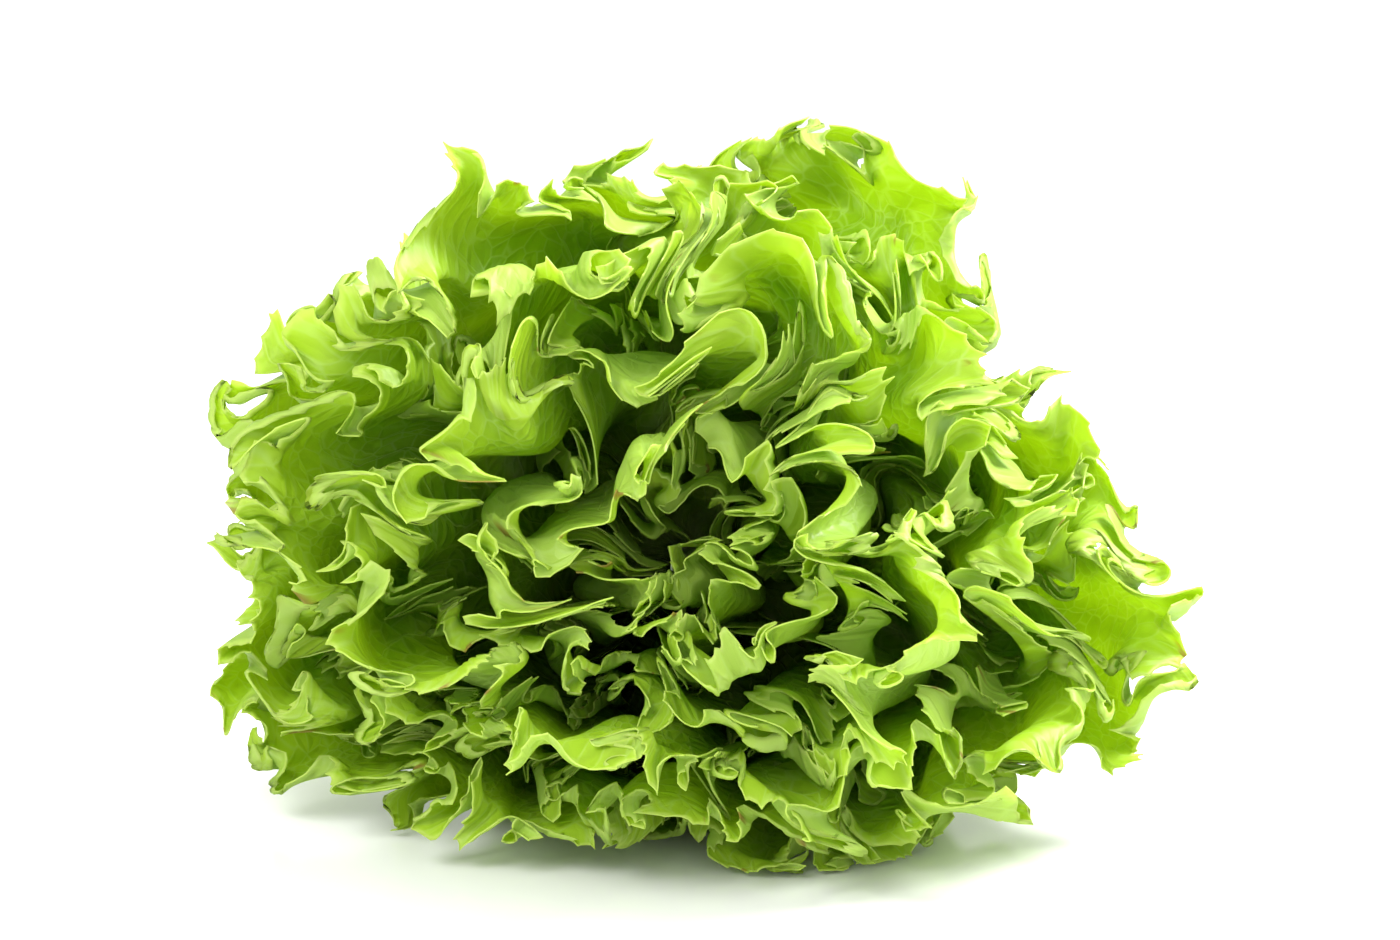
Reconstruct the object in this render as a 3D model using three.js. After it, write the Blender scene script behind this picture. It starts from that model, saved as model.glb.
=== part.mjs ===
// A head of curly green leaf lettuce, cut at the stem and lying on its side.
// Millimetres, +Z up. The cut stem points towards +Y and the leaf tips towards -Y. The origin is on
// the surface that the head lies on, below the middle of the head's bounding box.
//
// Every leaf lies on a shell of its own. A shell is the surface swept by a circular arc round the
// stem's axis: the innermost shell is a narrow upright cup and the outermost one is a wide bowl.
// The shells never cross, so the leaves stay clear of each other wherever they stand on the stem.
// The waves and the head's weight bend the whole space that the shells are in, so they keep the
// leaves apart too.
import * as THREE from "three";

const { degToRad, lerp, smoothstep } = THREE.MathUtils;

// Stem
const STEM_LENGTH = 68;
const BUTT_RADIUS = 17;
const STEM_TIP_RADIUS = 4.5;
const BUTT_CHAMFER = 1.5;
const STEM_SIDES = 20;

// Leaves
const LEAF_COUNT = 38;
const HEART_LEAF_COUNT = 5;
const INNER_LEAF_COUNT = 8;
const MIDDLE_LEAF_COUNT = 11;
const CROWDING = 0.75; // under 1, the outer leaves stand closer together than the heart leaves
const HEART_LEAF_LENGTH = 88;
const OUTER_LEAF_LENGTH = 166;
const FULL_LENGTH_OPENNESS = 0.55; // leaves on shells more open than this have the outer length
const LENGTH_JITTER = 0.1;
const LONG_SIDE_GAIN = 0.05; // leaves on the long side are longer by this share, opposite ones shorter
const LONG_SIDE_AZIMUTH = degToRad(209);
const LONG_AXIS_GAIN = 0.076; // leaves at both ends of the long axis are longer by this share
const LONG_AXIS_AZIMUTH = degToRad(-25);
const HEART_WIDTH_RATIO = 0.75; // width over length
const OUTER_WIDTH_RATIO = 1.15;
const WIDEST_AT = 0.65; // share of the length at which a leaf reaches its full width
const SHOULDER_DROP = 0.6; // a leaf's sides are shorter than its midrib by this share
const SHOULDER_POWER = 2.6; // the higher it is, the squarer are the leaf's shoulders
const BASE_WRAP = degToRad(26); // a leaf's base reaches this far round the stem on each side
const BLADE_WRAP = degToRad(63); // and its blade at most this far
const BLADE_THICKNESS = 1.2;
const HEART_RIB_THICKNESS = 1.8;
const OUTER_RIB_THICKNESS = 4;
const RIB_HALF_WIDTH = 7;
const STEM_CLEARANCE = 0.8; // from the stem's surface to the leaves' bases

// Where the leaves stand on the stem
const GOLDEN_ANGLE = degToRad(137.508);
const FIRST_AZIMUTH = degToRad(298);
const AZIMUTH_JITTER = degToRad(4);
const OUTERMOST_ATTACHMENT = 8; // from the butt, along the axis
const INNERMOST_ATTACHMENT = 61;

// How far the shells open: angles from the stem's axis
const INNERMOST_BASE_ANGLE = degToRad(24);
const OUTERMOST_BASE_ANGLE = degToRad(98);
const INNERMOST_TIP_ANGLE = degToRad(-34);
const OUTERMOST_TIP_ANGLE = degToRad(30);

// Waves round the head
const BROAD_WAVES = 3;
const BROAD_WAVE_ANGLE = degToRad(4.5);
const NARROW_WAVES = 8;
const NARROW_WAVE_ANGLE = degToRad(3);
const BROAD_WAVE_PACE = 60; // distance from the stem's butt over which the waves turn one radian
const NARROW_WAVE_PACE = 45;
const WAVES_START = 60; // from the stem's butt
const WAVES_FULL = 150;

// The lie of the head on the surface
const BUTT_HEIGHT = 66; // of the butt's centre
const AXIS_TILT = degToRad(14); // the tips point up by this much
const AXIS_YAW = degToRad(7); // and to the left by this much
const HEAD_WIDTH_SCALE = 0.953;
const HEAD_HEIGHT_SCALE = 0.975;
const SPREAD_ABOVE = degToRad(2); // the leaves lean this far to the sides
const SPREAD_BELOW = degToRad(8.2); // and further where the head's weight spreads them
const LAID_SHARE = 0.45; // the lowest leaves' angle from the axis shrinks by this share
const LAID_START = 30; // from the stem's butt
const LAID_FULL = 150;
const WAVES_BELOW = 0.3; // share of the waves that is left where leaves lie on the surface

// Facets
const LEAF_COLUMNS = 14;
const LEAF_ROWS = 8;

const leafMaterial = (color) => new THREE.MeshStandardMaterial({ color, roughness: 0.5, metalness: 0 });
const MATERIALS = {
  stem: new THREE.MeshStandardMaterial({ color: 0xd9e4b8, roughness: 0.6, metalness: 0 }),
  heart: leafMaterial(0xb6d35f),
  inner: leafMaterial(0x93bd3d),
  middle: leafMaterial(0x7fb030),
  outer: leafMaterial(0x86b432),
};

// A repeatable number from 0 to 1 for each leaf and purpose.
function chance(leaf, purpose) {
  const wave = Math.sin(leaf * 12.9898 + purpose * 78.233) * 43758.5453;
  return wave - Math.floor(wave);
}

function stemRadius(height) {
  return lerp(BUTT_RADIUS, STEM_TIP_RADIUS, height / STEM_LENGTH);
}

// The arc that sweeps the shell of this openness, from 0 for the innermost to 1 for the outermost.
function shellArc(openness) {
  const full = Math.min(1, openness / FULL_LENGTH_OPENNESS);
  const length = lerp(HEART_LEAF_LENGTH, OUTER_LEAF_LENGTH, full);
  const baseAngle = lerp(INNERMOST_BASE_ANGLE, OUTERMOST_BASE_ANGLE, openness);
  const tipAngle = lerp(INNERMOST_TIP_ANGLE, OUTERMOST_TIP_ANGLE, openness);
  const height = lerp(INNERMOST_ATTACHMENT, OUTERMOST_ATTACHMENT, openness);
  const ribThickness = lerp(HEART_RIB_THICKNESS, OUTER_RIB_THICKNESS, openness);
  return {
    length,
    baseAngle,
    bend: (tipAngle - baseAngle) / length,
    height,
    radius: stemRadius(height) + STEM_CLEARANCE + ribThickness / 2,
    ribThickness,
  };
}

// The point on an arc at this distance from its base, moved outwards by offset along its normal.
function arcPoint(arc, distance, offset) {
  const angle = arc.baseAngle + arc.bend * distance;
  const halfTurn = (arc.bend * distance) / 2;
  const chord = halfTurn === 0 ? distance : (distance * Math.sin(halfTurn)) / halfTurn;
  return {
    radius: arc.radius + chord * Math.sin(arc.baseAngle + halfTurn) + offset * Math.cos(angle),
    height: arc.height + chord * Math.cos(arc.baseAngle + halfTurn) - offset * Math.sin(angle),
  };
}

// The waves and the head's weight tilt every point a little towards the axis or away from it.
function bendSpace(radius, azimuth, height) {
  const reach = Math.hypot(radius, height);
  const below = Math.max(0, -Math.sin(azimuth)) ** 2;
  const broad = BROAD_WAVE_ANGLE * Math.cos(BROAD_WAVES * azimuth + reach / BROAD_WAVE_PACE);
  const narrow = NARROW_WAVE_ANGLE * Math.cos(NARROW_WAVES * azimuth - reach / NARROW_WAVE_PACE);
  const strength = smoothstep(reach, WAVES_START, WAVES_FULL) * Math.min(1, (2 * radius) / reach);
  const waves = strength * (broad + narrow) * lerp(1, WAVES_BELOW, below);
  const laid = 1 - LAID_SHARE * below * smoothstep(reach, LAID_START, LAID_FULL);
  const angle = laid * Math.atan2(radius, height) + waves;
  return { radius: reach * Math.sin(angle), height: reach * Math.cos(angle) };
}

// From the head's own upright frame, stem's axis along height, to the head lying on its side.
function lieDown(radius, azimuth, height) {
  const above = (1 + Math.sin(azimuth)) / 2;
  const spread = azimuth - lerp(SPREAD_BELOW, SPREAD_ABOVE, above) * Math.sin(2 * azimuth);
  const side = radius * Math.cos(spread) * HEAD_WIDTH_SCALE;
  const up = radius * Math.sin(spread) * HEAD_HEIGHT_SCALE;
  const front = height * Math.cos(AXIS_TILT) - up * Math.sin(AXIS_TILT);
  return new THREE.Vector3(
    side * Math.cos(AXIS_YAW) - front * Math.sin(AXIS_YAW),
    -front * Math.cos(AXIS_YAW) - side * Math.sin(AXIS_YAW),
    BUTT_HEIGHT + height * Math.sin(AXIS_TILT) + up * Math.cos(AXIS_TILT),
  );
}

// The flat leaf's outline, x to the side of the midrib and y along it. The leaf is a fan that
// widens from its base, and its margin curves back from the tip to the sides.
function fanPoint(leaf, across, along) {
  const share = along * (1 - SHOULDER_DROP * Math.abs(across) ** SHOULDER_POWER);
  const spread = Math.sin((Math.PI / 2) * Math.min(1, share / WIDEST_AT));
  const baseHalfWidth = BASE_WRAP * leaf.arc.radius;
  const fullHalfWidth = (leaf.length * leaf.widthRatio) / 2;
  return { x: across * lerp(baseHalfWidth, fullHalfWidth, spread), y: share * leaf.length };
}

// A box's two broad faces are split into triangles along opposite diagonals. Both faces take the
// same diagonals here, so that the blade keeps its thickness where it twists.
function matchDiagonals(geometry) {
  const index = geometry.index;
  const back = geometry.groups[5];
  for (let i = back.start; i < back.start + back.count; i += 6) {
    index.setX(i + 2, index.getX(i + 4));
    index.setX(i + 3, index.getX(i));
  }
}

function leafSolid(leaf) {
  const { arc, azimuth } = leaf;
  const geometry = new THREE.BoxGeometry(1, 1, 1, LEAF_COLUMNS, LEAF_ROWS, 1);
  matchDiagonals(geometry);
  const position = geometry.attributes.position;
  for (let i = 0; i < position.count; i++) {
    const across = 2 * position.getX(i); // -1 to 1 over the fan
    const along = position.getY(i) + 0.5; // 0 at the base, 1 at the margin
    const side = 2 * position.getZ(i); // 1 on the outer face and -1 on the inner one

    const { x, y } = fanPoint(leaf, across, along);
    const rib = Math.exp(-((x / RIB_HALF_WIDTH) ** 2)) * (1 - along);
    const thickness = lerp(BLADE_THICKNESS, arc.ribThickness, rib);
    const point = arcPoint(arc, y, (side * thickness) / 2);
    const turn = BLADE_WRAP * Math.tanh(x / (arcPoint(arc, y, 0).radius * BLADE_WRAP));
    const bent = bendSpace(point.radius, azimuth + turn, point.height);
    const placed = lieDown(bent.radius, azimuth + turn, bent.height);
    position.setXYZ(i, placed.x, placed.y, placed.z);
  }
  return geometry;
}

function stemSolid() {
  const shoulder = STEM_LENGTH - STEM_TIP_RADIUS;
  const outline = [
    new THREE.Vector2(0, 0),
    new THREE.Vector2(BUTT_RADIUS - BUTT_CHAMFER, 0),
    new THREE.Vector2(stemRadius(BUTT_CHAMFER), BUTT_CHAMFER),
    new THREE.Vector2(stemRadius(shoulder), shoulder),
    new THREE.Vector2(STEM_TIP_RADIUS / 2, STEM_LENGTH - STEM_TIP_RADIUS / 3),
    new THREE.Vector2(0, STEM_LENGTH),
  ];
  const geometry = new THREE.LatheGeometry(outline, STEM_SIDES);
  const position = geometry.attributes.position;
  for (let i = 0; i < position.count; i++) {
    const radius = Math.hypot(position.getX(i), position.getZ(i));
    const azimuth = Math.atan2(-position.getZ(i), position.getX(i));
    const placed = lieDown(radius, azimuth, position.getY(i));
    position.setXYZ(i, placed.x, placed.y, placed.z);
  }
  return geometry;
}

// The group of leaves that the leaf of this number belongs to, counted from the heart outwards.
function leafGroup(number) {
  if (number < HEART_LEAF_COUNT) return "heart";
  if (number < HEART_LEAF_COUNT + INNER_LEAF_COUNT) return "inner";
  if (number < HEART_LEAF_COUNT + INNER_LEAF_COUNT + MIDDLE_LEAF_COUNT) return "middle";
  return "outer";
}

function leafAt(number) {
  const openness = ((number + 0.5) / LEAF_COUNT) ** CROWDING;
  const arc = shellArc(openness);
  const azimuth = FIRST_AZIMUTH + number * GOLDEN_ANGLE + AZIMUTH_JITTER * (2 * chance(number, 1) - 1);
  const longSide = LONG_SIDE_GAIN * Math.cos(azimuth - LONG_SIDE_AZIMUTH);
  const longAxis = LONG_AXIS_GAIN * Math.cos(2 * (azimuth - LONG_AXIS_AZIMUTH));
  const gain = longSide + longAxis + LENGTH_JITTER * (2 * chance(number, 2) - 1);
  return {
    arc,
    length: arc.length * (1 + gain),
    widthRatio: lerp(HEART_WIDTH_RATIO, OUTER_WIDTH_RATIO, Math.sqrt(openness)),
    azimuth,
  };
}

const head = new THREE.Group();

const stem = new THREE.Mesh(stemSolid(), MATERIALS.stem);
stem.name = "stem";
head.add(stem);

for (let number = 0; number < LEAF_COUNT; number++) {
  const group = leafGroup(number);
  const mesh = new THREE.Mesh(leafSolid(leafAt(number)), MATERIALS[group]);
  mesh.name = `${group}_leaf_${String(number + 1).padStart(2, "0")}`;
  head.add(mesh);
}

// The origin goes below the middle of the bounding box, on the surface.
const bounds = new THREE.Box3().setFromObject(head);
const middle = bounds.getCenter(new THREE.Vector3());
head.position.set(-middle.x, -middle.y, -bounds.min.z);

export default head;
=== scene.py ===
import math

import bpy
import numpy as np
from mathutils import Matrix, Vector


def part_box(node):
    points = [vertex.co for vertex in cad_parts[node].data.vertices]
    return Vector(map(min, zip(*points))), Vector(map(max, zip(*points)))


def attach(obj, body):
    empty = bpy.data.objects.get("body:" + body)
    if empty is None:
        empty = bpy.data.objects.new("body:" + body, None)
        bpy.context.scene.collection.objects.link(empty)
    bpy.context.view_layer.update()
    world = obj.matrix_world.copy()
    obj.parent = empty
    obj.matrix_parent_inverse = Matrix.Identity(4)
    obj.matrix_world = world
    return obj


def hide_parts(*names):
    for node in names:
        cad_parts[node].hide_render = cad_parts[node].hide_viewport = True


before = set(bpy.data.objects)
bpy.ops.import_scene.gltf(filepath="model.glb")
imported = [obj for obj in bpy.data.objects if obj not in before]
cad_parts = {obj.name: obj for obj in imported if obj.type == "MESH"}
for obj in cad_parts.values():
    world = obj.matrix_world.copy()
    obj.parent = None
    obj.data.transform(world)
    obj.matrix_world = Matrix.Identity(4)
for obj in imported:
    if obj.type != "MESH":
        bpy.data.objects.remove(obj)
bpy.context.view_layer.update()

MM = 0.001

# ---------------------------------------------------------------------------------------------
# The head's design, in millimetres and radians: the same shells, arcs and bends as the CAD model
# ---------------------------------------------------------------------------------------------

STEM_LENGTH = 68
BUTT_RADIUS = 17
STEM_TIP_RADIUS = 4.5
BUTT_CHAMFER = 1.5
STEM_SIDES = 20

LEAF_GROUPS = {"heart": 5, "inner": 8, "middle": 11, "outer": 14}
LEAF_COUNT = sum(LEAF_GROUPS.values())
CROWDING = 0.75
HEART_LEAF_LENGTH = 88
OUTER_LEAF_LENGTH = 166
FULL_LENGTH_OPENNESS = 0.55
LENGTH_JITTER = 0.1
LONG_SIDE_GAIN = 0.05
LONG_SIDE_AZIMUTH = math.radians(209)
LONG_AXIS_GAIN = 0.076
LONG_AXIS_AZIMUTH = math.radians(-25)
HEART_WIDTH_RATIO = 0.75
OUTER_WIDTH_RATIO = 1.15
WIDEST_AT = 0.65
SHOULDER_DROP = 0.6
SHOULDER_POWER = 2.6
BASE_WRAP = math.radians(26)
BLADE_WRAP = math.radians(63)
HEART_RIB_THICKNESS = 1.8
OUTER_RIB_THICKNESS = 4
RIB_HALF_WIDTH = 7
STEM_CLEARANCE = 0.8

GOLDEN_ANGLE = math.radians(137.508)
FIRST_AZIMUTH = math.radians(298)
AZIMUTH_JITTER = math.radians(4)
OUTERMOST_ATTACHMENT = 8
INNERMOST_ATTACHMENT = 61

INNERMOST_BASE_ANGLE = math.radians(24)
OUTERMOST_BASE_ANGLE = math.radians(98)
INNERMOST_TIP_ANGLE = math.radians(-34)
OUTERMOST_TIP_ANGLE = math.radians(30)

BROAD_WAVES = 3
BROAD_WAVE_ANGLE = math.radians(4.5)
NARROW_WAVES = 8
NARROW_WAVE_ANGLE = math.radians(3)
BROAD_WAVE_PACE = 60
NARROW_WAVE_PACE = 45
WAVES_START = 60
WAVES_FULL = 150

BUTT_HEIGHT = 66
AXIS_TILT = math.radians(14)
AXIS_YAW = math.radians(7)
HEAD_WIDTH_SCALE = 0.953
HEAD_HEIGHT_SCALE = 0.975
SPREAD_ABOVE = math.radians(2)
SPREAD_BELOW = math.radians(8.2)
LAID_SHARE = 0.45
LAID_START = 30
LAID_FULL = 150
WAVES_BELOW = 0.3

# ---------------------------------------------------------------------------------------------
# What the CAD model leaves to this script
# ---------------------------------------------------------------------------------------------

ROWS = 30
COLUMN_SPACING = 1.5  # along the frilled margin
BLADE_THICKNESS = 0.42
LENGTH_SHARE = 0.97  # of the CAD leaf's length, before the teeth and the frills' depth are added

# Frills: waves that turn the sheet back and forth, longest first. Each wave turns the margin by up to
# its angle, and the turning grows over its depth on the way to the margin.
FRILLS = (
    {"length": 48, "angle": math.radians(52), "depth": 55},
    {"length": 28, "angle": math.radians(44), "depth": 37},
    {"length": 16.5, "angle": math.radians(114), "depth": 17},
    {"length": 7.5, "angle": math.radians(40), "depth": 7},
)

# Swirls: the whole head's space slides sideways in waves, so that leaves fold together and never cross.
SWIRLS = (
    {"size": 6.5, "length": 66, "direction": math.radians(20), "pace": 17},
    {"size": 6, "length": 56, "direction": math.radians(112), "pace": -15},
    {"size": 3.4, "length": 40, "direction": math.radians(66), "pace": 13},
    {"size": 3.4, "length": 44, "direction": math.radians(155), "pace": -14},
)
SWIRLS_START = 45  # from the stem's butt
SWIRLS_FULL = 115

FRILL_WANDER = 2.2  # how far the frills' phase strays, in radians
FRILL_STRENGTHS = (0.6, 1.2)  # weakest and strongest share of a frill's angle
FRILL_EASE = 0.12  # share of the half margin over which the frills fade at a leaf's sides
GROWTH_LIMIT = 3.2  # the most that frills lengthen the margin
LEVEL_SHARE = 0.3  # drift slower than this share of the leaf's length is taken out of the frills
LEAST_REACH = 0.12  # squared share of its step that a climbing sheet still covers
ROW_CROWDING = 1.5  # over 1, rows stand closer together at the margin
MARGIN_POINTS = 2001  # where the margin is worked out before its columns are chosen

TOOTH_SPACING = 6
TOOTH_HEIGHT = 2.4
TOOTH_POWER = 1.4  # over 1, the curve between two teeth is hollow
TOOTH_SHARES = (0.2, 1.25)  # shortest and tallest tooth, as shares of the height
TOOTH_START = 0.95  # share of the length where teeth begin

FLOOR_EASE = 7  # frills lower than this flatten against the surface
LEAST_TURN_RADIUS = 6  # a leaf's sides wrap round the axis as if it were at least this far from it
RIB_FADE = 1.15  # the rib is gone before the margin
RIB_SHARE = 0.9  # of the CAD rib's thickness
INNER_SHARE = 0.3  # share of a leaf's thickness on the inner side of its middle surface


def lerp(a, b, share):
    return a + (b - a) * share


def smoothstep(value, start, end):
    share = np.clip((value - start) / (end - start), 0, 1)
    return share * share * (3 - 2 * share)


def ramp(value):
    """0 up to 0, then a rise to 1 at 1 with a soft beginning."""
    share = np.clip(value, 0, 1)
    return np.where(share < 0.5, share * share * np.sqrt(2 - share), lerp(0.306, 1.0, 2 * share - 1))


def chance(leaf, purpose):
    """A repeatable number from 0 to 1 for each leaf and purpose."""
    wave = math.sin(leaf * 12.9898 + purpose * 78.233) * 43758.5453
    return wave - math.floor(wave)


def stem_radius(height):
    return lerp(BUTT_RADIUS, STEM_TIP_RADIUS, height / STEM_LENGTH)


def shell_arc(openness):
    """The arc that sweeps the shell of this openness round the stem's axis."""
    full = min(1, openness / FULL_LENGTH_OPENNESS)
    length = lerp(HEART_LEAF_LENGTH, OUTER_LEAF_LENGTH, full)
    base_angle = lerp(INNERMOST_BASE_ANGLE, OUTERMOST_BASE_ANGLE, openness)
    tip_angle = lerp(INNERMOST_TIP_ANGLE, OUTERMOST_TIP_ANGLE, openness)
    height = lerp(INNERMOST_ATTACHMENT, OUTERMOST_ATTACHMENT, openness)
    rib = lerp(HEART_RIB_THICKNESS, OUTER_RIB_THICKNESS, openness)
    return {
        "length": length,
        "base_angle": base_angle,
        "bend": (tip_angle - base_angle) / length,
        "height": height,
        "radius": stem_radius(height) + STEM_CLEARANCE + rib / 2,
        "rib": rib,
    }


def arc_point(arc, distance, offset):
    """Radius and height at this distance along the arc, moved outwards by offset."""
    angle = arc["base_angle"] + arc["bend"] * distance
    half_turn = arc["bend"] * distance / 2
    chord = distance * np.sinc(half_turn / math.pi)
    radius = arc["radius"] + chord * np.sin(arc["base_angle"] + half_turn) + offset * np.cos(angle)
    height = arc["height"] + chord * np.cos(arc["base_angle"] + half_turn) - offset * np.sin(angle)
    return radius, height


def swirl(radius, azimuth, height):
    """Slides points along the spheres round the stem's butt, one wave after another."""
    reach = np.hypot(radius, height)
    away = reach * np.arctan2(radius, height)
    u, v = away * np.cos(azimuth), away * np.sin(azimuth)
    grown = smoothstep(reach, SWIRLS_START, SWIRLS_FULL)
    for wave in SWIRLS:
        along_u, along_v = math.cos(wave["direction"]), math.sin(wave["direction"])
        place = (v * along_u - u * along_v) / wave["length"]
        slide = wave["size"] * grown * np.sin(2 * math.pi * place + reach / wave["pace"])
        u = u + slide * along_u
        v = v + slide * along_v
    angle = np.hypot(u, v) / reach
    return reach * np.sin(angle), np.arctan2(v, u), reach * np.cos(angle)


def bend_space(radius, azimuth, height):
    """The waves and the head's weight tilt every point a little towards the axis or away from it."""
    reach = np.hypot(radius, height)
    below = np.maximum(0, -np.sin(azimuth)) ** 2
    broad = BROAD_WAVE_ANGLE * np.cos(BROAD_WAVES * azimuth + reach / BROAD_WAVE_PACE)
    narrow = NARROW_WAVE_ANGLE * np.cos(NARROW_WAVES * azimuth - reach / NARROW_WAVE_PACE)
    strength = smoothstep(reach, WAVES_START, WAVES_FULL) * np.minimum(1, 2 * radius / reach)
    waves = strength * (broad + narrow) * lerp(1, WAVES_BELOW, below)
    laid = 1 - LAID_SHARE * below * smoothstep(reach, LAID_START, LAID_FULL)
    angle = laid * np.arctan2(radius, height) + waves
    return reach * np.sin(angle), reach * np.cos(angle)


def lie_down(radius, azimuth, height):
    """From the head's upright frame to the head lying on its side."""
    above = (1 + np.sin(azimuth)) / 2
    spread = azimuth - lerp(SPREAD_BELOW, SPREAD_ABOVE, above) * np.sin(2 * azimuth)
    side = radius * np.cos(spread) * HEAD_WIDTH_SCALE
    up = radius * np.sin(spread) * HEAD_HEIGHT_SCALE
    front = height * math.cos(AXIS_TILT) - up * math.sin(AXIS_TILT)
    return np.stack([
        side * math.cos(AXIS_YAW) - front * math.sin(AXIS_YAW),
        -front * math.cos(AXIS_YAW) - side * math.sin(AXIS_YAW),
        BUTT_HEIGHT + height * math.sin(AXIS_TILT) + up * math.cos(AXIS_TILT),
    ], axis=-1)


def row_shift():
    """What moves lie_down's points into the row's frame: measured on the CAD stem."""
    rings = [(BUTT_RADIUS - BUTT_CHAMFER, 0), (stem_radius(BUTT_CHAMFER), BUTT_CHAMFER), (0, STEM_LENGTH)]
    shoulder = STEM_LENGTH - STEM_TIP_RADIUS
    rings += [(stem_radius(shoulder), shoulder), (STEM_TIP_RADIUS / 2, STEM_LENGTH - STEM_TIP_RADIUS / 3)]
    turns = -2 * math.pi * np.arange(STEM_SIDES) / STEM_SIDES + math.pi / 2
    points = np.concatenate([lie_down(np.full(STEM_SIDES, r), turns, h) for r, h in rings])
    low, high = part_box("stem")
    middle = (points.min(0) + points.max(0)) / 2
    return np.array((low + high) / 2) / MM - middle


SHIFT = row_shift()


def smooth_noise(where, seed, octaves=3):
    """A smooth random curve between about -1 and 1, with features about one unit long."""
    random = np.random.default_rng(seed)
    total = np.zeros_like(where)
    for octave in range(octaves):
        for _ in range(3):
            pace = random.uniform(0.5, 1.1) * 2 ** octave
            total += np.sin(where * pace + random.uniform(0, 2 * math.pi)) / 2 ** octave
    return total / 3


def leaf_at(number):
    openness = ((number + 0.5) / LEAF_COUNT) ** CROWDING
    arc = shell_arc(openness)
    azimuth = FIRST_AZIMUTH + number * GOLDEN_ANGLE + AZIMUTH_JITTER * (2 * chance(number, 1) - 1)
    long_side = LONG_SIDE_GAIN * math.cos(azimuth - LONG_SIDE_AZIMUTH)
    long_axis = LONG_AXIS_GAIN * math.cos(2 * (azimuth - LONG_AXIS_AZIMUTH))
    gain = long_side + long_axis + LENGTH_JITTER * (2 * chance(number, 2) - 1)
    return {
        "number": number,
        "openness": openness,
        "arc": arc,
        "length": arc["length"] * (1 + gain) * LENGTH_SHARE,
        "width_ratio": lerp(HEART_WIDTH_RATIO, OUTER_WIDTH_RATIO, math.sqrt(openness)),
        "azimuth": azimuth,
    }


def fan_point(leaf, across, along):
    """The flat leaf's own plane: x to the side of the midrib, y along it."""
    share = along * (1 - SHOULDER_DROP * np.abs(across) ** SHOULDER_POWER)
    spread = np.sin(math.pi / 2 * np.minimum(1, share / WIDEST_AT))
    base = BASE_WRAP * leaf["arc"]["radius"]
    half_width = lerp(base, leaf["length"] * leaf["width_ratio"] / 2, spread)
    return across * half_width, share * leaf["length"]


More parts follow.
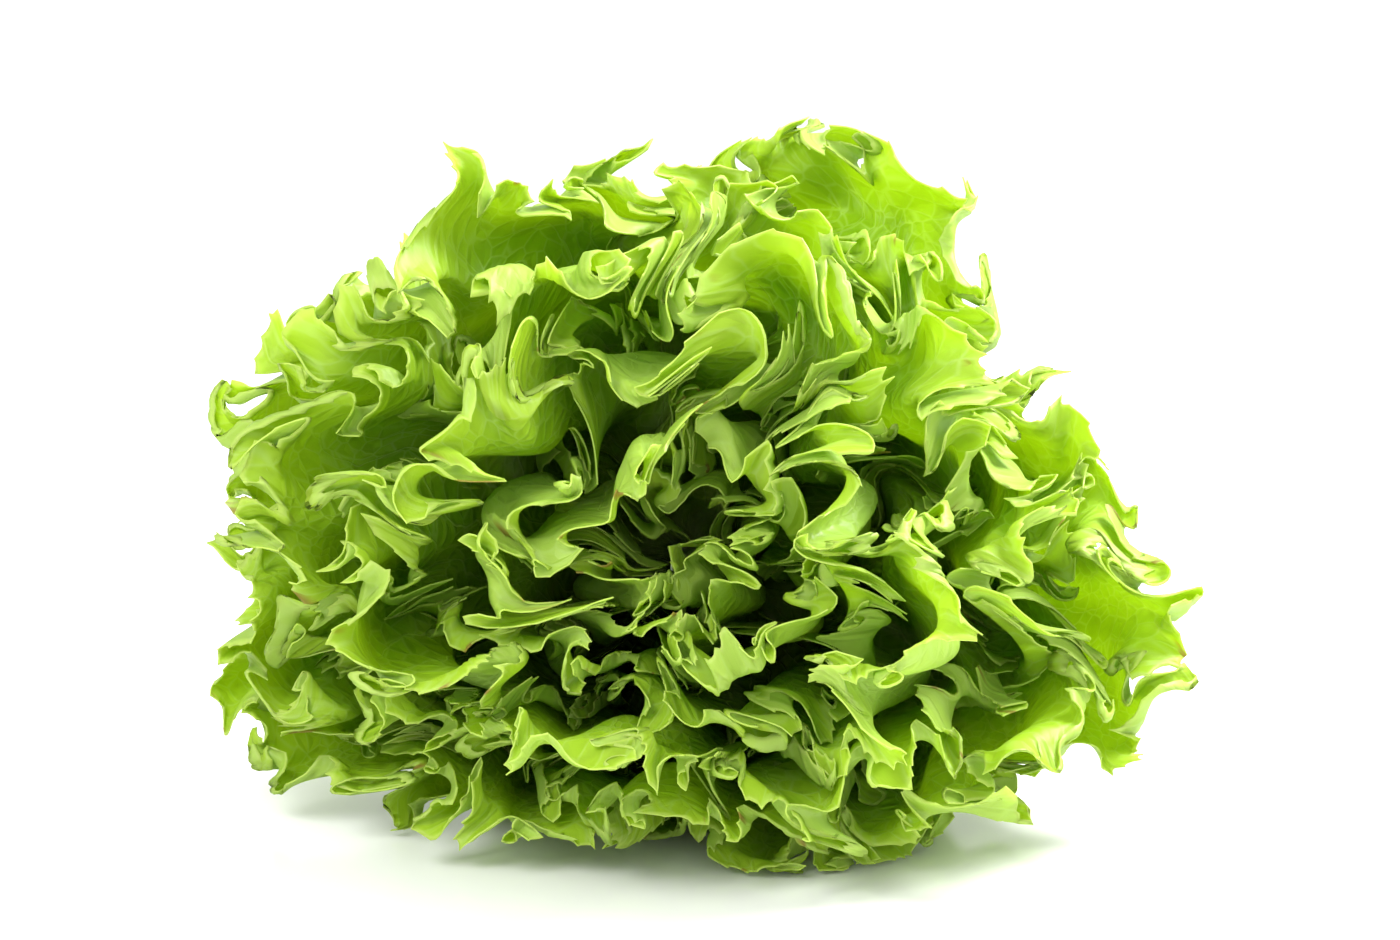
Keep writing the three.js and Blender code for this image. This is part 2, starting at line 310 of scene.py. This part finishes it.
def frilled_leaf(leaf):
    """Rows and columns of the leaf's middle surface in the leaf's own plane: x, y and height."""
    length, number = leaf["length"], leaf["number"]
    fine = np.linspace(-1, 1, MARGIN_POINTS)
    margin_x, margin_y = fan_point(leaf, fine, 1.0)
    chord = np.concatenate([[0], np.cumsum(np.hypot(np.diff(margin_x), np.diff(margin_y)))])

    # The frills' turning angle along the margin, and how much longer it makes the margin.
    waves = []
    for order, frill in enumerate(FRILLS):
        place = chord / frill["length"]
        phase = 2 * math.pi * place + FRILL_WANDER * smooth_noise(place * 1.3, 100 * number + order)
        strength = 0.95 + 0.3 * smooth_noise(place * 1.1, 100 * number + 10 + order)
        waves.append(frill["angle"] * np.clip(strength, *FRILL_STRENGTHS) * np.sin(phase))

    rows = 1 - (1 - np.linspace(0, 1, ROWS)) ** ROW_CROWDING
    ends = smoothstep(1 - np.abs(fine), 0.0, FRILL_EASE)
    level = LEVEL_SHARE * length
    step = np.gradient(chord)
    offsets_side, offsets_up, growth = [], [], []
    shoulder = 1 - SHOULDER_DROP * np.abs(fine) ** SHOULDER_POWER
    for along in rows:
        turning = sum(
            bend * ramp(1 - (1 - along) * shoulder * length / frill["depth"]) * ends
            for bend, frill in zip(waves, FRILLS)
        )
        kept_share = np.clip(smooth(np.cos(turning), chord, level), 0.05, 1)
        stretch = np.clip(1 / kept_share, 1, GROWTH_LIMIT)
        side = np.cumsum(np.cos(turning) * stretch * step) - chord
        up = np.cumsum(np.sin(turning) * stretch * step)
        offsets_side.append(side - smooth(side, chord, level))
        offsets_up.append(up - smooth(up, chord, level))
        growth.append(stretch)

    # Columns are evenly spaced along the grown margin, a whole number to each tooth.
    grown = np.concatenate([[0], np.cumsum(growth[-1][1:] * np.diff(chord))])
    teeth = max(8, int(grown[-1] / TOOTH_SPACING))
    per_tooth = max(4, round(TOOTH_SPACING / COLUMN_SPACING))
    columns = np.interp(np.linspace(0, grown[-1], teeth * per_tooth + 1), grown, fine)
    side = np.array([np.interp(columns, fine, row) for row in offsets_side])
    up = np.array([np.interp(columns, fine, row) for row in offsets_up])

    across = np.broadcast_to(columns, (ROWS, columns.size))
    along = np.broadcast_to(rows[:, None], across.shape)
    x, y = fan_point(leaf, across, along)
    tangent_x, tangent_y = np.gradient(x, axis=1), np.gradient(y, axis=1)
    tangent = np.maximum(np.hypot(tangent_x, tangent_y), 1e-6)
    x = x + side * tangent_x / tangent
    y = y + side * tangent_y / tangent

    # A sheet that climbs into a frill reaches less far out, so its own length stays the same.
    run = np.hypot(np.diff(x, axis=0), np.diff(y, axis=0))
    climb = np.abs(np.diff(up, axis=0))
    kept = np.sqrt(np.clip(1 - (climb / np.maximum(run, 1e-6)) ** 2, LEAST_REACH, 1))
    x[1:] = x[:1] + np.cumsum(np.diff(x, axis=0) * kept, axis=0)
    y[1:] = y[:1] + np.cumsum(np.diff(y, axis=0) * kept, axis=0)

    # Teeth: pointed, with a hollow curve between them, of uneven height.
    index = np.arange(columns.size)
    shape = (1 - np.abs(np.sin(math.pi * index / per_tooth))) ** TOOTH_POWER
    tooth_number = np.round(index / per_tooth).astype(int)
    height = np.random.default_rng(900 + number).uniform(*TOOTH_SHARES, teeth + 1)[tooth_number]
    tooth = TOOTH_HEIGHT * height * shape * smoothstep(1 - np.abs(columns), 0, 0.05)
    edge = np.array([x[-1] - x[-3], y[-1] - y[-3], up[-1] - up[-3]])
    edge /= np.maximum(np.linalg.norm(edge, axis=0), 1e-6)
    blend = smoothstep(rows, TOOTH_START, 1)[:, None] * tooth
    x, y, up = x + blend * edge[0], y + blend * edge[1], up + blend * edge[2]
    return across, along, x, y, up


def smooth(values, places, width):
    """A running mean of values over this width of places."""
    total = np.concatenate([[0], np.cumsum((values[1:] + values[:-1]) / 2 * np.diff(places))])
    low = np.clip(places - width / 2, places[0], places[-1])
    high = np.clip(places + width / 2, places[0], places[-1])
    return (np.interp(high, places, total) - np.interp(low, places, total)) / (high - low)


def leaf_surface(leaf):
    """The leaf's middle surface in the row's frame, and what its material reads at each point."""
    across, along, x, y, up = frilled_leaf(leaf)
    arc = leaf["arc"]
    radius, height = arc_point(arc, y, up)
    flat_radius, _ = arc_point(arc, y, 0)
    turn = BLADE_WRAP * np.tanh(x / (np.maximum(flat_radius, LEAST_TURN_RADIUS) * BLADE_WRAP))
    radius, azimuth, height = swirl(radius, leaf["azimuth"] + turn, height)
    radius, height = bend_space(radius, azimuth, height)
    points = lie_down(radius, azimuth, height) + SHIFT
    low = points[..., 2]
    points[..., 2] = np.where(low < FLOOR_EASE, FLOOR_EASE * np.exp(low / FLOOR_EASE - 1), low)
    facts = {"across": across, "along": along, "plane_x": x, "plane_y": y}
    return points, facts


def surface_normals(points):
    down = np.gradient(points, axis=0)
    side = np.gradient(points, axis=1)
    normal = np.cross(side, down)
    return normal / np.maximum(np.linalg.norm(normal, axis=-1, keepdims=True), 1e-9)


def grid_faces(rows, columns):
    """Quads of a closed sheet: its front, its back and its rim, for front points then back points."""
    index = np.arange(rows * columns).reshape(rows, columns)
    front = np.stack([index[:-1, :-1], index[:-1, 1:], index[1:, 1:], index[1:, :-1]], -1).reshape(-1, 4)
    back = front[:, ::-1] + rows * columns
    loop = np.concatenate([index[0, :-1], index[:-1, -1], index[-1, :0:-1], index[:0:-1, 0]])
    after = np.roll(loop, -1)
    rim = np.stack([after, loop, loop + rows * columns, after + rows * columns], -1)
    return np.concatenate([front, back, rim]), len(rim)


def make_mesh(name, points, faces, flat_faces, facts):
    mesh = bpy.data.meshes.new(name)
    mesh.vertices.add(len(points))
    mesh.vertices.foreach_set("co", points.astype(np.float32).ravel())
    mesh.loops.add(faces.size)
    mesh.loops.foreach_set("vertex_index", faces.astype(np.int32).ravel())
    mesh.polygons.add(len(faces))
    mesh.polygons.foreach_set("loop_start", np.arange(0, faces.size, 4, dtype=np.int32))
    shaded = np.ones(len(faces), dtype=bool)
    shaded[len(faces) - flat_faces:] = False
    mesh.polygons.foreach_set("use_smooth", shaded)
    for fact, values in facts.items():
        layer = mesh.attributes.new(fact, "FLOAT", "POINT")
        layer.data.foreach_set("value", values.astype(np.float32).ravel())
    mesh.update(calc_edges=True)
    mesh.validate()
    return mesh


def leaf_piece(number, group, material):
    leaf = leaf_at(number)
    points, facts = leaf_surface(leaf)
    normal = surface_normals(points)
    rib = np.exp(-((facts["plane_x"] / RIB_HALF_WIDTH) ** 2)) * np.clip(1 - facts["along"] * RIB_FADE, 0, 1)
    thickness = lerp(BLADE_THICKNESS, leaf["arc"]["rib"] * RIB_SHARE, rib)[..., None]
    rows, columns = points.shape[:2]
    front = points - normal * thickness * INNER_SHARE
    back = points + normal * thickness * (1 - INNER_SHARE)
    both = np.concatenate([front.reshape(-1, 3), back.reshape(-1, 3)]) * MM
    faces, rim_count = grid_faces(rows, columns)
    doubled = {fact: np.concatenate([v.ravel(), v.ravel()]) for fact, v in facts.items()}
    doubled["underside"] = np.concatenate([np.zeros(rows * columns), np.ones(rows * columns)])
    doubled["openness"] = np.full(2 * rows * columns, leaf["openness"])
    name = f"{group}_leaf_{number + 1:02d}"
    mesh = make_mesh(name + "_frilled", both, faces, rim_count, doubled)
    mesh.materials.append(material)
    piece = bpy.data.objects.new(name + "_frilled", mesh)
    bpy.context.scene.collection.objects.link(piece)
    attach(piece, "root")
    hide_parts(name)


# ---------------------------------------------------------------------------------------------
# Materials
# ---------------------------------------------------------------------------------------------


class Nodes:
    """A short way to write a material's node tree."""

    def __init__(self, name):
        self.material = bpy.data.materials.new(name)
        self.material.use_nodes = True
        self.tree = self.material.node_tree
        self.tree.nodes.clear()

    def add(self, kind, inputs=None, **settings):
        node = self.tree.nodes.new(kind)
        for key, value in settings.items():
            setattr(node, key, value)
        for key, value in (inputs or {}).items():
            if isinstance(value, bpy.types.NodeSocket):
                self.tree.links.new(value, node.inputs[key])
            else:
                node.inputs[key].default_value = value
        return node

    def math(self, operation, first, second=0.0, clamp=False):
        node = self.add("ShaderNodeMath", {0: first, 1: second}, operation=operation)
        node.use_clamp = clamp
        return node.outputs[0]

    def fact(self, name):
        return self.add("ShaderNodeAttribute", attribute_name=name).outputs["Fac"]

    def mix(self, share, first, second):
        node = self.add("ShaderNodeMix", {"Factor": share}, data_type="RGBA")
        for socket, value in ((node.inputs[6], first), (node.inputs[7], second)):
            if isinstance(value, bpy.types.NodeSocket):
                self.tree.links.new(value, socket)
            else:
                socket.default_value = (*value, 1)
        return node.outputs[2]

    def ramp(self, value, start, end):
        node = self.add("ShaderNodeMapRange", {"Value": value, "From Min": start, "From Max": end})
        node.interpolation_type = "SMOOTHSTEP"
        return node.outputs["Result"]


def leaf_material():
    n = Nodes("leaf")
    x, y = n.fact("plane_x"), n.fact("plane_y")
    along, across = n.fact("along"), n.fact("across")
    underside, openness = n.fact("underside"), n.fact("openness")
    plane = n.add("ShaderNodeCombineXYZ", {"X": x, "Y": y, "Z": n.math("MULTIPLY", openness, 900.0)}).outputs[0]

    # Veins: a fan of main ones from the base, and a fine net between them.
    wobble = n.add("ShaderNodeTexNoise", {"Vector": plane, "Scale": 0.06, "Detail": 2.0}).outputs["Fac"]
    bent = n.math("ADD", n.math("MULTIPLY", across, 8.0), n.math("MULTIPLY", wobble, 1.2))
    to_vein = n.math("ABSOLUTE", n.math("SUBTRACT", n.math("FRACT", bent), 0.5))
    spacing = n.math("MULTIPLY", n.math("ADD", along, 0.08), 20.0)
    fan = n.math("SUBTRACT", 1.0, n.ramp(n.math("MULTIPLY", to_vein, spacing), 0.15, 0.75), True)
    fan = n.math("MULTIPLY", fan, n.ramp(along, 1.0, 0.55))
    cells = n.add("ShaderNodeTexVoronoi", {"Vector": plane, "Scale": 0.16, "Randomness": 0.9},
                  feature="DISTANCE_TO_EDGE").outputs["Distance"]
    net = n.math("SUBTRACT", 1.0, n.ramp(cells, 0.0, 0.09), True)
    veins = n.math("MAXIMUM", fan, n.math("MULTIPLY", net, 0.55))

    # Colour: deep green inside, yellow-green margin, pale base and underside.
    mottle = n.add("ShaderNodeTexNoise", {"Vector": plane, "Scale": 0.045, "Detail": 5.0}).outputs["Fac"]
    green = n.mix(n.ramp(mottle, 0.3, 0.7), (0.20, 0.39, 0.010), (0.32, 0.52, 0.024))
    green = n.mix(n.ramp(openness, 0.45, 0.0), green, (0.42, 0.60, 0.05))
    green = n.mix(n.math("MULTIPLY", n.ramp(along, 0.75, 1.0), 0.6), green, (0.52, 0.70, 0.06))
    green = n.mix(n.ramp(along, 0.42, 0.05), green, (0.56, 0.68, 0.25))
    green = n.mix(n.math("MULTIPLY", veins, 0.55), green, (0.56, 0.72, 0.24))
    rib = n.math("MULTIPLY", n.ramp(n.math("ABSOLUTE", x), 5.0, 0.8), n.ramp(along, 0.8, 0.1))
    green = n.mix(n.math("MULTIPLY", rib, 0.75), green, (0.66, 0.74, 0.38))
    below = n.mix(0.42, green, (0.56, 0.74, 0.20))
    colour = n.mix(underside, green, below)
    # Painted highlight: a paler band along the margin's very edge, where light would catch the leaf's rounded
    # rim.
    rim = n.ramp(along, 0.99, 1.0)
    colour = n.mix(n.math("MULTIPLY", rim, 0.45), colour, (0.72, 0.82, 0.25))
    spots = n.add("ShaderNodeTexNoise", {"Vector": plane, "Scale": 0.13, "Detail": 1.0}).outputs["Fac"]
    scorched = n.math("MULTIPLY", n.ramp(spots, 0.70, 0.74), n.ramp(along, 0.975, 0.997))
    colour = n.mix(n.math("MULTIPLY", scorched, 0.8), colour, (0.30, 0.12, 0.03))

    # Surface: soft blisters between the veins, finer grain on top.
    grain = n.add("ShaderNodeTexNoise", {"Vector": plane, "Scale": 0.8, "Detail": 4.0}).outputs["Fac"]
    blister = n.math("SUBTRACT", n.ramp(cells, 0.0, 0.35), n.math("MULTIPLY", fan, 0.6))
    height = n.math("ADD", blister, n.math("MULTIPLY", grain, 0.25))
    bump = n.add("ShaderNodeBump", {"Height": height, "Strength": 0.55, "Distance": 0.0007}).outputs[0]

    glow = n.mix(0.55, colour, (0.70, 0.84, 0.03))
    skin = n.add("ShaderNodeBsdfPrincipled", {"Base Color": colour, "Normal": bump})
    skin.inputs["Roughness"].default_value = 0.42
    skin.inputs["Specular IOR Level"].default_value = 0.35
    through = n.add("ShaderNodeBsdfTranslucent", {"Color": glow, "Normal": bump})
    both = n.add("ShaderNodeMixShader", {0: 0.5, 1: skin.outputs[0], 2: through.outputs[0]})
    n.add("ShaderNodeOutputMaterial", {"Surface": both.outputs[0]})
    return n.material


def stem_material():
    n = Nodes("stem")
    spot = n.add("ShaderNodeTexCoord").outputs["Object"]
    mottle = n.add("ShaderNodeTexNoise", {"Vector": spot, "Scale": 160.0, "Detail": 5.0}).outputs["Fac"]
    colour = n.mix(n.ramp(mottle, 0.35, 0.7), (0.70, 0.76, 0.46), (0.55, 0.66, 0.30))
    cut = n.fact("cut")
    colour = n.mix(cut, colour, n.mix(mottle, (0.30, 0.15, 0.05), (0.62, 0.44, 0.20)))
    bump = n.add("ShaderNodeBump", {"Height": mottle, "Strength": 0.5, "Distance": 0.0008}).outputs[0]
    skin = n.add("ShaderNodeBsdfPrincipled", {"Base Color": colour, "Normal": bump})
    skin.inputs["Roughness"].default_value = 0.55
    n.add("ShaderNodeOutputMaterial", {"Surface": skin.outputs[0]})
    return n.material


# ---------------------------------------------------------------------------------------------
# Pieces
# ---------------------------------------------------------------------------------------------


def build_leaves():
    material = leaf_material()
    number = 0
    for group, count in LEAF_GROUPS.items():
        for _ in range(count):
            leaf_piece(number, group, material)
            number += 1


def stem_piece():
    """The stem, finer than its CAD node, with scars where lower leaves broke off."""
    sides, rings = 72, 40
    heights = np.concatenate([[0, 0, 0], np.linspace(0, STEM_LENGTH, rings)])
    shares = np.concatenate([[0.35, 0.7, 0.92], np.ones(rings)])
    turns = np.linspace(0, 2 * math.pi, sides, endpoint=False)
    height, turn = np.meshgrid(heights, turns, indexing="ij")
    share = np.broadcast_to(shares[:, None], height.shape)
    radius = stem_radius(height) * share
    tip = np.sqrt(np.clip(1 - ((height - (STEM_LENGTH - 9)) / 9).clip(0) ** 2, 0, 1))
    edge = 1 - 0.08 * np.exp(-height / 0.8)
    scars = 0.35 * np.sin(5 * turn + height / 2.1) * np.exp(-((height - 5) / 4) ** 2)
    radius = np.where(height > 0, (radius + scars) * tip * edge, radius * 0.95)
    dish = np.where(share < 1, (1 - share) * 0.9, 0)
    points = lie_down(radius, turn, height + dish) + SHIFT
    cut = np.where(height <= 0.5, 1.0, np.exp(-height / 1.5) * 0.8)
    flat = points.reshape(-1, 3)
    count = len(heights)
    index = np.arange(count * sides).reshape(count, sides)
    after = np.roll(index, -1, axis=1)
    quads = np.stack([index[:-1], after[:-1], after[1:], index[1:]], -1).reshape(-1, 4)
    mesh = bpy.data.meshes.new("stem_core")
    faces = [tuple(q) for q in quads] + [tuple(index[0][::-1]), tuple(index[-1])]
    mesh.from_pydata([tuple(p) for p in flat * MM], [], faces)
    layer = mesh.attributes.new("cut", "FLOAT", "POINT")
    layer.data.foreach_set("value", cut.astype(np.float32).ravel())
    mesh.polygons.foreach_set("use_smooth", [True] * len(mesh.polygons))
    mesh.materials.append(stem_material())
    piece = bpy.data.objects.new("stem_core", mesh)
    bpy.context.scene.collection.objects.link(piece)
    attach(piece, "root")
    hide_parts("stem")


# ---------------------------------------------------------------------------------------------
# Stage, lights and camera
# ---------------------------------------------------------------------------------------------


def floor():
    n = Nodes("floor")
    skin = n.add("ShaderNodeBsdfPrincipled")
    skin.inputs["Base Color"].default_value = (0.93, 0.93, 0.93, 1)
    skin.inputs["Roughness"].default_value = 0.16
    skin.inputs["Specular IOR Level"].default_value = 0.5
    n.add("ShaderNodeOutputMaterial", {"Surface": skin.outputs[0]})
    bpy.ops.mesh.primitive_plane_add(size=8)
    plane = bpy.context.object
    plane.name = "floor"
    plane.data.materials.append(n.material)


def area_light(name, place, size, power, target=(0, 0, 0.1)):
    data = bpy.data.lights.new(name, "AREA")
    data.size = size
    data.energy = power
    light = bpy.data.objects.new(name, data)
    light.location = place
    light.rotation_euler = (Vector(target) - Vector(place)).to_track_quat("-Z", "Y").to_euler()
    bpy.context.scene.collection.objects.link(light)


def studio():
    world = bpy.data.worlds.new("studio")
    bpy.context.scene.world = world
    world.use_nodes = True
    world.node_tree.nodes["Background"].inputs[0].default_value = (1, 1, 1, 1)
    world.node_tree.nodes["Background"].inputs[1].default_value = 1.15
    area_light("fill", (-0.6, -0.7, 0.9), 0.6, 12)
    area_light("back", (0.8, 0.35, 1.0), 0.6, 40)
    bpy.context.scene.view_settings.view_transform = "Standard"


def camera():
    distance, elevation, lens = 1.02, math.radians(11), 85
    target = Vector((0.006, 0, 0.114))
    data = bpy.data.cameras.new("camera")
    data.lens = lens
    view = bpy.data.objects.new("camera", data)
    view.location = target + distance * Vector((0, -math.cos(elevation), math.sin(elevation)))
    view.rotation_euler = (target - view.location).to_track_quat("-Z", "Y").to_euler()
    bpy.context.scene.collection.objects.link(view)
    bpy.context.scene.camera = view


camera()
studio()
floor()
stem_piece()
build_leaves()
